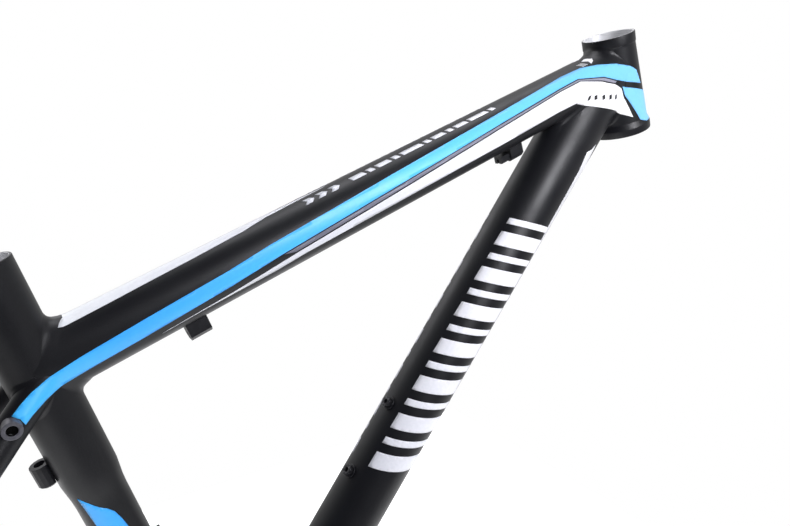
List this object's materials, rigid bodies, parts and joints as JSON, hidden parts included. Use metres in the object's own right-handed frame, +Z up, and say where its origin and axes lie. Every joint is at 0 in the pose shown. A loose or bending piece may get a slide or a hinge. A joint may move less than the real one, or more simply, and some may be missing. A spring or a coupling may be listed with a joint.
{
  "type": "hardtail bicycle frame",
  "caption": "Hardtail bicycle frame: tubes, stays, dropouts, cable stops, bottle bolts and rack bosses, in satin black with stripes.",
  "frame": {"origin": "centre of the bottom-bracket shell", "axes": "+X forward to the head tube, +Y to the rider's left, +Z up"},
  "size_m": [0.904, 0.1603, 0.5943],
  "materials": {
    "paint": "satin black",
    "machined_aluminium": "turned",
    "black_steel": "black oxide",
    "plastic": "moulded",
    "blue_stripe": "glossy blue, paler towards the head tube",
    "white_stripe": "glossy white and silver"
  },
  "bodies": {
    "root": {"head_tube": "paint", "seat_tube": "paint", "top_tube": "paint", "down_tube": "paint", "bb_shell": "paint", "seat_stay_bridge": "paint", "chain_stay_bridge": "paint", "seat_stay_right": "paint", "chain_stay_right": "paint", "dropout_right": "paint", "rack_boss_right": "paint", "seat_stay_left": "paint", "chain_stay_left": "paint", "dropout_left": "paint", "rack_boss_left": "paint", "derailleur_hanger": "machined_aluminium", "hanger_bolt": "black_steel", "disc_brake_mount": "paint", "down_tube_boss_upper": "machined_aluminium", "down_tube_bolt_upper": "black_steel", "down_tube_boss_lower": "machined_aluminium", "down_tube_bolt_lower": "black_steel", "seat_tube_boss_upper": "machined_aluminium", "seat_tube_bolt_upper": "black_steel", "seat_tube_boss_lower": "machined_aluminium", "seat_tube_bolt_lower": "black_steel", "cable_guide_rear": "paint", "cable_guide_front": "paint", "seat_tube_cable_stop": "paint", "shell_cable_guide": "plastic", "shell_guide_screw": "black_steel"}
  },
  "joints": []
}
